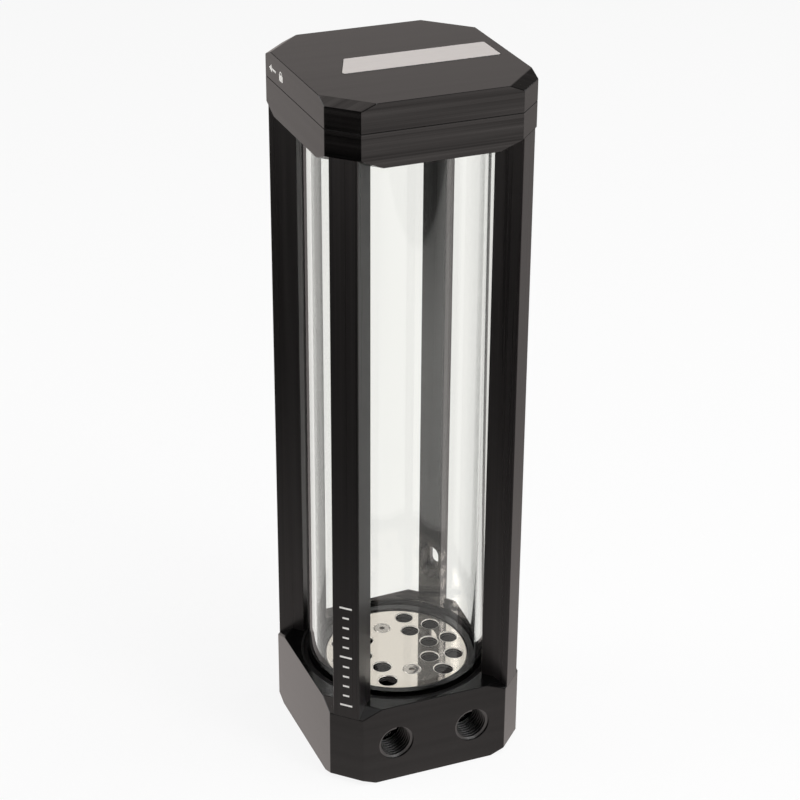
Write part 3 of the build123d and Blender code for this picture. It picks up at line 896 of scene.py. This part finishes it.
# %% Screws on their rings
ring_tree, size = new_tree("screws_on_ring", Count=2, Radius=10 * mm, FirstAngle=0.0, Screw=None)
copied = node(ring_tree, "GeometryNodeObjectInfo", {"Object": size["Screw"]}).outputs["Geometry"]
part_turn = node(ring_tree, "ShaderNodeMath", [2 * math.pi, size["Count"]], operation="DIVIDE")
points = ring_points(ring_tree, size["Radius"], size["Count"], size["FirstAngle"], part_turn)
screws = node(ring_tree, "GeometryNodeInstanceOnPoints", {"Points": points, "Instance": copied})
close_tree(ring_tree, screws, screw_steel)


def place_screws(node_name, piece_name, body, kind, count, material, slot, head_down):
    """A ring of screws in the place of a solid's screws, which touch the sides of their box."""
    low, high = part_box(node_name)
    axis_x, axis_y = high.x - kind["head_radius"], high.y - kind["head_radius"]
    sample = bpy.data.objects.new(piece_name + "_one", screw_mesh(kind, high.z - low.z))
    bpy.context.scene.collection.objects.link(sample)
    ring = {"Radius": math.hypot(axis_x, axis_y), "FirstAngle": math.atan2(axis_y, axis_x)}
    mesh = grown(ring_tree, piece_name, Count=count, Screw=sample, **ring)
    bpy.data.objects.remove(sample)
    if head_down:
        mesh.transform(Matrix.Rotation(math.pi, 4, "X"))
    mesh.transform(Matrix.Translation((0, 0, low.z if head_down else high.z)))
    piece = new_piece(piece_name, smooth_but(mesh, crease), body, material)
    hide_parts(node_name)
    print(piece_name, count, "on a ring of radius", round(ring["Radius"] / mm, 2))


oxide = (cap_screw, 4, oxide_steel, "black_screw")
place_screws("base_screws", "base_cap_screws", "frame", *oxide, head_down=True)
place_screws("collar_screws", "collar_cap_screws", "frame", *oxide, head_down=False)
bright = (screw_steel, "steel_screw")
place_screws("lid_plug_screws", "plug_flat_screws", "lid", flat_screw, 4, *bright, head_down=True)
place_screws("flow_plate_screws", "plate_flat_screws", "frame", flat_screw, 2, *bright, head_down=False)

# %% [markdown]
# ## Printed marks
# White printing is matt paint a few hundredths of a millimetre thick. A picture on the material would
# blur from close up, so each mark is a thin raised plate. A scale of plain ticks stands on the near
# strut, and an arrow and a padlock on the lid's left face show which way the lid locks. One tree makes
# the scale: a row of points, and a short bar on each, with a longer one at every fifth.

# %% Paint
paint = plain("printed_white_paint", "#e4e2de", 0.0, 0.5, 0.1 * mm, 0.004 * mm)
paint_height = 0.03 * mm

# %% Scale tree
# Half of each bar lies under the face, so its rise is twice the paint's height.
scale_tree, size = new_tree(
    "fill_scale", Count=11, Step=4.0 * mm, ShortTick=2.4 * mm, LongTick=4.6 * mm, Line=0.7 * mm,
    Rise=2 * paint_height,
)
tick_index = node(scale_tree, "GeometryNodeInputIndex")
tick_up = node(scale_tree, "ShaderNodeMath", [tick_index, size["Step"]], operation="MULTIPLY")
tick_spot = node(scale_tree, "ShaderNodeCombineXYZ", {"Y": tick_up})
tick_points = node(scale_tree, "GeometryNodePoints", {"Count": size["Count"], "Position": tick_spot})
after_fifth = node(scale_tree, "ShaderNodeMath", [tick_index, 5.0], operation="MODULO")
is_fifth = node(scale_tree, "ShaderNodeMath", [after_fifth, 0.5], operation="LESS_THAN")
tick_length = node(
    scale_tree, "ShaderNodeMapRange", [is_fifth, 0.0, 1.0, size["ShortTick"], size["LongTick"]]
)
bar = node(scale_tree, "GeometryNodeMeshCube", {"Size": (1, 1, 1)})
bar_size = node(scale_tree, "ShaderNodeCombineXYZ", [tick_length, size["Line"], size["Rise"]])
row = {"Points": tick_points, "Instance": bar, "Scale": bar_size}
close_tree(scale_tree, node(scale_tree, "GeometryNodeInstanceOnPoints", row), paint)
print("paint", paint_height / mm, "mm thick")

# %% Scale on the near strut
scale_foot = 33.0 * mm
near_corner = Vector((-1, -1, 0)).normalized()
face_reach = max(near_corner.dot(vertex.co) for vertex in solids["strut_front_left"].data.vertices)
across_face = Vector((0, 0, 1)).cross(near_corner)
face_turn = Matrix((across_face, Vector((0, 0, 1)), near_corner)).transposed().to_4x4()
scale_mesh = grown(scale_tree, "fill_scale")
foot_place = near_corner * face_reach + Vector((0, 0, scale_foot))
scale_mesh.transform(Matrix.Translation(foot_place) @ face_turn)
new_piece("fill_scale", scale_mesh, "frame", paint)
print("strut face", round(face_reach / mm, 2), "mm out, scale faces", len(scale_mesh.polygons))

# %% Arrow and padlock on the lid
def printed(name, outlines, place, turn, body):
    """Flat printed shapes, each an outline in millimetres, raised a little off a face."""
    shape = bmesh.new()
    for outline in outlines:
        face = shape.faces.new([shape.verts.new((x * mm, y * mm, 0)) for x, y in outline])
        raised = bmesh.ops.extrude_face_region(shape, geom=[face])["geom"]
        raised_corners = [part for part in raised if isinstance(part, bmesh.types.BMVert)]
        bmesh.ops.translate(shape, verts=raised_corners, vec=(0, 0, paint_height))
    mesh = closed_mesh(name, shape)
    mesh.transform(Matrix.Translation(place) @ turn)
    return new_piece(name, mesh, body, paint)


def arc(centre_x, centre_y, radius, first, last, steps):
    """Points on an arc, in degrees."""
    angles = [math.radians(first + (last - first) * i / steps) for i in range(steps + 1)]
    return [(centre_x + radius * math.cos(a), centre_y + radius * math.sin(a)) for a in angles]


arrow = [(-6.6, 0), (-4.2, 1.5), (-4.2, 0.35), (-0.2, 0.35), (-0.2, -0.35), (-4.2, -0.35), (-4.2, -1.5)]
lock_body = [(3.0, -1.6), (6.4, -1.6), (6.4, 0.5), (3.0, 0.5)]
shackle = arc(4.7, 0.5, 1.25, 0, 180, 12) + arc(4.7, 0.5, 0.8, 180, 0, 12)
mark_place = Vector((-half_width, 17.0 * mm, 250.2 * mm))
lid_face_turn = Matrix(((0, 0, -1), (-1, 0, 0), (0, 1, 0))).to_4x4()
lock_mark = printed("lock_mark", [arrow, lock_body, shackle], mark_place, lid_face_turn, "lid")
print("lock mark faces", len(lock_mark.data.polygons))

# %% [markdown]
# ## Badge
# A bright aluminium plate is let into the lid. Its brushing runs along it, which draws out each highlight
# across the lines. Anisotropy would give that too, but the lines themselves show here, so they are noise
# drawn out along X. The real lines are finer, and are drawn a fifth of a millimetre wide so that they
# show. The plate's sides are dark, and the hairline round its top, where it meets the lid, is painted
# dark as the shade of the narrow gap there.

# %% Brushed aluminium
brush_length, brush_width = 16.7 * mm, 0.2 * mm
gap_shade_width = 0.22 * mm
badge_low, badge_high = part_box("lid_badge")
badge_middle = (badge_low + badge_high) / 2
badge_half = (badge_high - badge_low) / 2

badge_metal, tree = new_material("aluminium_brushed_bright")
place = node(tree, "ShaderNodeTexCoord").outputs
spot = node(tree, "ShaderNodeSeparateXYZ", [place["Object"]]).outputs
facing = node(tree, "ShaderNodeSeparateXYZ", [place["Normal"]]).outputs
per_metre = (1 / brush_length, 1 / brush_width, 1 / brush_length)
drawn_out = node(tree, "ShaderNodeVectorMath", [place["Object"], per_metre], operation="MULTIPLY")
brushed = node(tree, "ShaderNodeTexNoise", {"Vector": drawn_out, "Scale": 1.0, "Detail": 2.0})
lines_tone = {0: brushed, 6: colour("#d6d3d1"), 7: colour("#e8e6e4")}
brush_tone = node(tree, "ShaderNodeMix", lines_tone, data_type="RGBA")

inset = []
for axis, letter in enumerate("XY"):
    shift = node(tree, "ShaderNodeMath", [spot[letter], badge_middle[axis]], operation="SUBTRACT")
    out = node(tree, "ShaderNodeMath", [shift], operation="ABSOLUTE")
    inset.append(node(tree, "ShaderNodeMath", [badge_half[axis], out], operation="SUBTRACT"))
# The hairline round the top, where the plate meets the lid, is painted shade of the gap there.
nearest_side = node(tree, "ShaderNodeMath", inset, operation="MINIMUM")
off_gap_shade = node(tree, "ShaderNodeMath", [nearest_side, gap_shade_width], operation="GREATER_THAN")
faces_up = node(tree, "ShaderNodeMath", [facing["Z"], 0.9], operation="GREATER_THAN")
is_face = node(tree, "ShaderNodeMath", [faces_up, off_gap_shade], operation="MULTIPLY")

surface = {
    "Base Color": node(
        tree, "ShaderNodeMix", {0: is_face, 6: colour("#1a1918"), 7: brush_tone}, data_type="RGBA"
    ),
    "Metallic": 0.55,
    "Roughness": node(tree, "ShaderNodeMapRange", [brushed, 0.0, 1.0, 0.3, 0.42]),
    "Normal": node(tree, "ShaderNodeBump", {"Height": brushed, "Strength": 0.2, "Distance": 0.003 * mm}),
}
node(tree, "ShaderNodeOutputMaterial", [node(tree, "ShaderNodeBsdfPrincipled", surface)])
dress(["lid_badge"], badge_metal)
print("badge", [round(2 * side / mm, 1) for side in badge_half])
